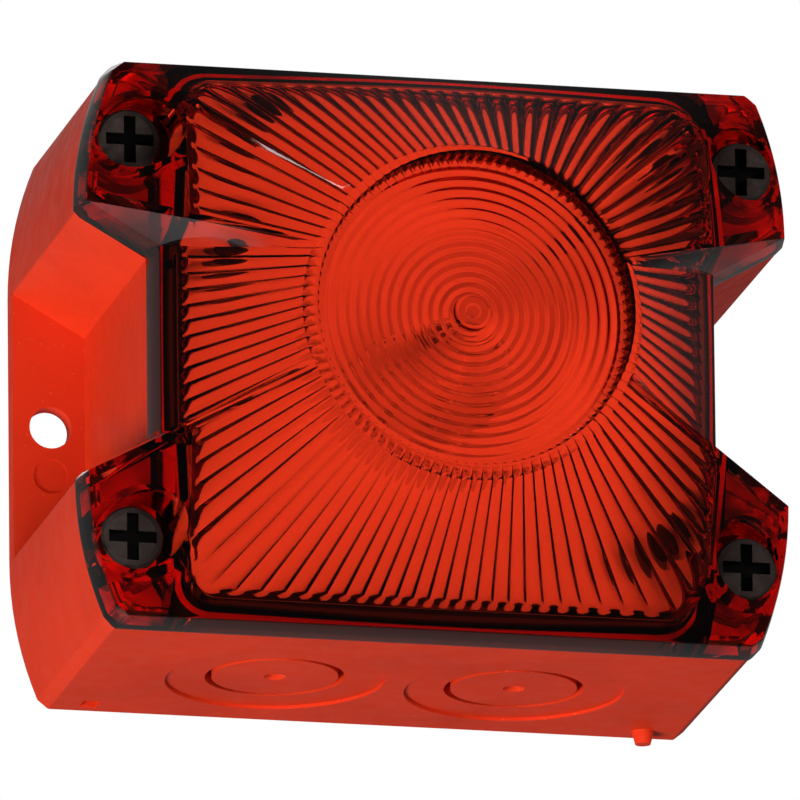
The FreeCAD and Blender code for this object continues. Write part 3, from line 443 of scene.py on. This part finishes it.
def polar_solid(name, angles, rings):
    """A closed mesh from rings of (radius, depth), each a number or one value per angle."""
    count = len(angles)
    mesh = bmesh.new()
    rows = []
    for radius, depth in rings:
        places = zip(np.broadcast_to(radius, count) * MM, np.broadcast_to(depth, count) * MM, angles)
        rows.append([mesh.verts.new((r * math.cos(a), -d, r * math.sin(a))) for r, d, a in places])
    for low, high in zip(rows, rows[1:]):
        for i in range(count):
            j = (i + 1) % count
            mesh.faces.new((low[i], low[j], high[j], high[i]))
    for row in (rows[0], rows[-1]):
        centre = mesh.verts.new(sum((v.co for v in row), Vector()) / count)
        for i in range(count):
            mesh.faces.new((centre, row[i], row[(i + 1) % count]))
    bmesh.ops.recalc_face_normals(mesh, faces=mesh.faces)
    return linked(name, mesh)


def cylinder(x, z, radius, back, front, count=72):
    obj = polar_solid("tool", even_angles(count), [(radius, back), (radius, front)])
    obj.data.transform(Matrix.Translation((x * MM, 0, z * MM)))
    return obj


def block(low, high):
    """A box between two corners, given as x, depth and z in mm."""
    mesh = bmesh.new()
    bmesh.ops.create_cube(mesh, size=1.0)
    for v in mesh.verts:
        x, d, z = (low[i] if v.co[i] < 0 else high[i] for i in range(3))
        v.co = (x * MM, -d * MM, z * MM)
    bmesh.ops.recalc_face_normals(mesh, faces=mesh.faces)
    return linked("block", mesh)


def combine(obj, operation, *tools):
    """Applies boolean steps and removes the tools."""
    for tool in tools:
        step = obj.modifiers.new("step", "BOOLEAN")
        step.operation, step.object, step.solver = operation, tool, "MANIFOLD"
    graph = bpy.context.evaluated_depsgraph_get()
    made = bpy.data.meshes.new_from_object(obj.evaluated_get(graph))
    obj.modifiers.clear()
    obj.data = made
    for tool in tools:
        bpy.data.objects.remove(tool)


def facet(outer_r, outer_d, inner_r, inner_d, share):
    """A point on the straight ray from the front edge to the crown."""
    return outer_r + (inner_r - outer_r) * share, outer_d + (inner_d - outer_d) * share


def lens_body():
    """Outer form: skirt, softened front edge, facets, crown rim, scalloped recess and centre button."""
    angles = angles_with_corners(FLUTES * FLUTE_STEPS)
    rim = reach(outline(RIM_GROW, RIM_GROW + RIM_TOP), angles)
    edge = reach(outline(EDGE_GROW, EDGE_GROW + EDGE_TOP), angles)
    rings = [(rim, RIM + CLEAR), (rim, RIM + 0.9), (edge + 0.12, EDGE - 0.9), (edge, EDGE - 0.35)]
    for share in (0.004, 0.012, 0.03, 0.1, 0.25, 0.45, 0.65, 0.85, 0.95, 0.985):
        rings.append(facet(edge, EDGE, CROWN_R, CROWN, share))
    rings += [(CROWN_R - 0.15, CROWN - 0.12), (CROWN_R - 0.45, CROWN), (CROWN_R - 0.85, CROWN)]
    scallop = SCALLOP * np.abs(np.sin(angles * FLUTES / 2))
    disc = CROWN - RECESS_SINK
    rings += [
        (CROWN_R - 1.1, CROWN - 0.15),
        (RECESS_R + 0.35 + scallop, CROWN - 0.9),
        (RECESS_R + 0.05 + scallop, disc + 0.3),
        (RECESS_R - 0.25, disc),
    ]
    rings += [(RECESS_R - 1.5, disc), (20.0, disc), (12.0, disc), (BUTTON_R + 0.25, disc)]
    top = disc + BUTTON_UP
    rings += [
        (BUTTON_R - 0.1, top - 0.4),
        (BUTTON_R - 0.5, top),
        (EYE_R + 0.2, top),
        (EYE_R - 0.1, top - 0.35),
        (0.4, top - 0.45),
    ]
    return polar_solid("lens_cover_shell", angles, rings)


def chamber_void():
    """The hollow over the lamp: straight lip walls, and facets cut by radial flutes."""
    angles = even_angles(FLUTES * FLUTE_STEPS)
    wall = square_reach(CHAMBER, CHAMBER_ROUND, angles)
    edge = reach(outline(EDGE_GROW - WALL, EDGE_GROW - WALL + EDGE_TOP), angles)
    edge_d = EDGE - EDGE_DROP
    start = (edge - wall) / (edge - CROWN_R)
    corner_d = edge_d + (CROWN_INNER - edge_d) * start
    flute = np.abs(np.sin(angles * FLUTES / 2)) ** 0.8
    rings = [(wall, RIM - 1.0), (wall, corner_d - 0.4), (wall - 0.15, corner_d - 0.05)]
    first = (edge - wall + LEDGE) / (edge - CROWN_R)
    rings.append(facet(edge, edge_d, CROWN_R, CROWN_INNER, first))
    for share in (0.01, 0.03, 0.07, 0.14, 0.25, 0.4, 0.55, 0.7, 0.82, 0.92, 0.97, 1.0):
        at = first + (1.0 - first) * share
        radius, depth = facet(edge, edge_d, CROWN_R, CROWN_INNER, at)
        tip = math.sqrt(min(share, FLUTE_RUN_IN) / FLUTE_RUN_IN)
        sink = FLUTE_SINK * tip * (0.45 + 0.55 * (1.0 - share)) * flute
        rings.append((radius, depth + sink * 1.3))
    for ring in reversed(range(RINGS)):
        for share in (1.0, 0.85, 0.7, 0.5, 0.3, 0.15):
            radius = BUTTON_R + (ring + share) * RING_PITCH
            rings.append((radius, CROWN_INNER + RING_SINK * math.sin(math.pi * share) ** 2))
    rings.append((BUTTON_R, CROWN_INNER))
    return polar_solid("chamber", angles, rings)


def ear_voids():
    """The hollow in each ear, outside the lip and round the screw's tube."""
    angles = angles_with_corners(288)
    rim = reach(outline(RIM_GROW - WALL, RIM_GROW - WALL + RIM_TOP), angles)
    edge = reach(outline(EDGE_GROW - WALL, EDGE_GROW - WALL + EDGE_TOP), angles)
    rings = [(rim, RIM - 1.0), (edge, EDGE - EDGE_DROP), (CROWN_R, CROWN_INNER)]
    inner_x, inner_z, beyond_x, beyond_z = CHAMBER + LIP, 12.0, 70.0, 60.0
    voids = []
    for side, level in QUARTERS:
        hollow = polar_solid("ear", angles, rings)
        xs, zs = sorted((inner_x * side, beyond_x * side)), sorted((inner_z * level, beyond_z * level))
        combine(hollow, "INTERSECT", block((xs[0], RIM - 0.5, zs[0]), (xs[1], CROWN, zs[1])))
        pocket_x = (SCREW_X - POCKET_IN) * side
        tube = cylinder(pocket_x, SCREW_Z * level, POCKET_R + POCKET_WALL, RIM - 2, CROWN)
        combine(hollow, "DIFFERENCE", tube)
        voids.append(hollow)
    return voids


def build_lens(material):
    lens = lens_body()
    tools = [chamber_void(), *ear_voids()]
    for side, level in QUARTERS:
        x, z = SCREW_X * side, SCREW_Z * level
        tools.append(cylinder(x - POCKET_IN * side, z, POCKET_R, HEAD_SEAT, CROWN))
        tools.append(cylinder(x, z, SEAL_SEAT_R, HEAD_SEAT - SEAL_SEAT_SINK, HEAD_SEAT + 0.3))
        tools.append(cylinder(x, z, SHANK_WAY_R, RIM - 1, HEAD_SEAT, 48))
        tools.append(cylinder(x, z, WASHER_SEAT_R, RIM - 1, RIM + WASHER_SEAT_SINK, 48))
    for tool in tools:
        combine(lens, "DIFFERENCE", tool)
    lens.data.shade_smooth()
    lens.data.set_sharp_from_angle(angle=math.radians(32))
    lens.data.materials.clear()
    lens.data.materials.append(material)
    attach(lens, "cover")
    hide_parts("lens_cover")


# ---------------------------------------------------------------- studio


LOBES = (
    # direction, tightness, strength
    ((-0.32, 0.58, -0.69), 30.0, 0.7),
    ((0.07, 0.84, 0.53), 60.0, 1.5),
    ((0.0, 1.0, 0.0), 2.0, 0.16),
)
ROOM = 0.035
MIDDLE = (0.0, -0.05, 0.0)
LAMPS = (
    # name, place, size, power, target, mirrored in glossy surfaces
    ("side_lamp", (-1.54, -0.66, -1.32), 0.7, 38.0, MIDDLE, False),
    ("front_lamp", (1.43, -2.16, 0.13), 1.2, 44.0, MIDDLE, False),
    ("back_lamp", (0.7, 1.6, 1.5), 1.2, 45.0, MIDDLE, False),
    ("fill_lamp", (-0.30, -0.42, -0.26), 0.2, 0.7, MIDDLE, False),
    ("near_lamp", (-0.07, -0.27, -0.10), 0.06, 0.2, (-0.03, -0.06, -0.02), False),
    ("glint", (-0.115, -0.180, 0.268), 0.022, 0.012, (-0.024, -0.092, 0.024), True),
)
FLOOR_Z, FLOOR_HALF, FLOOR_GLOW = -2.4, 15.0, 0.45
AZIMUTH, ELEVATION, ROLL = -13.04, -15.86, 0.618
DISTANCE, FOCAL_LENGTH = 5.0, 1245.45
AIM, AIM_LEFT, AIM_DOWN = (0.0, -0.06, 0.0), 0.00577, 0.00701


def surroundings():
    """A dim room with three soft glows. The camera sees only a plain pale backdrop."""
    world = bpy.data.worlds.new("room")
    bpy.context.scene.world = world
    world.use_nodes = True
    nodes, links = world.node_tree.nodes, world.node_tree.links
    direction = nodes.new("ShaderNodeTexCoord").outputs["Generated"]
    total = ROOM
    for towards, tightness, strength in LOBES:
        dot = nodes.new("ShaderNodeVectorMath")
        dot.operation = "DOT_PRODUCT"
        dot.inputs[1].default_value = Vector(towards).normalized()
        links.new(direction, dot.inputs[0])
        facing = math_node(nodes, links, "MAXIMUM", dot.outputs["Value"], 0.0)
        narrowed = math_node(nodes, links, "POWER", facing, tightness)
        glow = math_node(nodes, links, "MULTIPLY", narrowed, strength)
        total = math_node(nodes, links, "ADD", total, glow)
    room, pale = nodes["Background"], nodes.new("ShaderNodeBackground")
    room.inputs["Color"].default_value = (1.0, 0.985, 0.97, 1)
    links.new(total, room.inputs["Strength"])
    pale.inputs["Color"].default_value = (1, 1, 1, 1)
    path, mix = nodes.new("ShaderNodeLightPath"), nodes.new("ShaderNodeMixShader")
    links.new(path.outputs["Is Camera Ray"], mix.inputs["Fac"])
    links.new(room.outputs["Background"], mix.inputs[1])
    links.new(pale.outputs["Background"], mix.inputs[2])
    links.new(mix.outputs["Shader"], nodes["World Output"].inputs["Surface"])


def softbox(name, place, size, power, target, mirrored):
    """A square lamp, itself unseen except in glossy surfaces where it is mirrored."""
    data = bpy.data.lights.new(name, "AREA")
    data.shape, data.size, data.energy = "SQUARE", size, power
    light = bpy.data.objects.new(name, data)
    light.location = place
    light.rotation_mode = "QUATERNION"
    light.rotation_quaternion = (Vector(target) - Vector(place)).to_track_quat("-Z", "Y")
    light.visible_camera = light.visible_transmission = False
    light.visible_glossy = mirrored
    bpy.context.scene.collection.objects.link(light)


def floor():
    """A pale, faintly glowing floor far below, kept out of the object's reflections."""
    mesh = bmesh.new()
    bmesh.ops.create_grid(mesh, x_segments=1, y_segments=1, size=FLOOR_HALF)
    obj = linked("floor", mesh)
    obj.data.transform(Matrix.Translation((0, 0, FLOOR_Z)))
    s = Shader("floor")
    greys = s.ramp(s.noise(2.0), (0.3, (0.80, 0.80, 0.80)), (0.7, (0.84, 0.84, 0.84)))
    s.link(greys, s.surface.inputs["Base Color"])
    glow = {"Emission_Color": (1, 1, 1, 1), "Emission_Strength": FLOOR_GLOW}
    obj.data.materials.append(s.set(Roughness=0.8, **glow).material)
    obj.visible_glossy = obj.visible_transmission = obj.visible_diffuse = False


def camera():
    """Looks up at the beacon from the left and below, from far off."""
    azimuth, elevation, roll = (math.radians(v) for v in (AZIMUTH, ELEVATION, ROLL))
    flat = math.cos(elevation)
    away = Vector((math.sin(azimuth) * flat, -math.cos(azimuth) * flat, math.sin(elevation)))
    level = Vector((math.cos(azimuth), math.sin(azimuth), 0))
    upright = away.cross(level)
    right = level * math.cos(roll) - upright * math.sin(roll)
    up = upright * math.cos(roll) + level * math.sin(roll)
    target = Vector(AIM) - right * AIM_LEFT - up * AIM_DOWN
    data = bpy.data.cameras.new("camera")
    data.sensor_width, data.lens, data.clip_end = 36.0, FOCAL_LENGTH, 60.0
    obj = bpy.data.objects.new("camera", data)
    turned = Matrix((right, up, away)).transposed().to_4x4()
    obj.matrix_world = Matrix.Translation(target + away * DISTANCE) @ turned
    bpy.context.scene.collection.objects.link(obj)
    bpy.context.scene.camera = obj


materials = make_materials()
finish_cad_nodes(materials)
build_lens(materials["lens_red"])
surroundings()
floor()
for lamp in LAMPS:
    softbox(*lamp)
camera()
bpy.context.scene.view_settings.view_transform = "Standard"
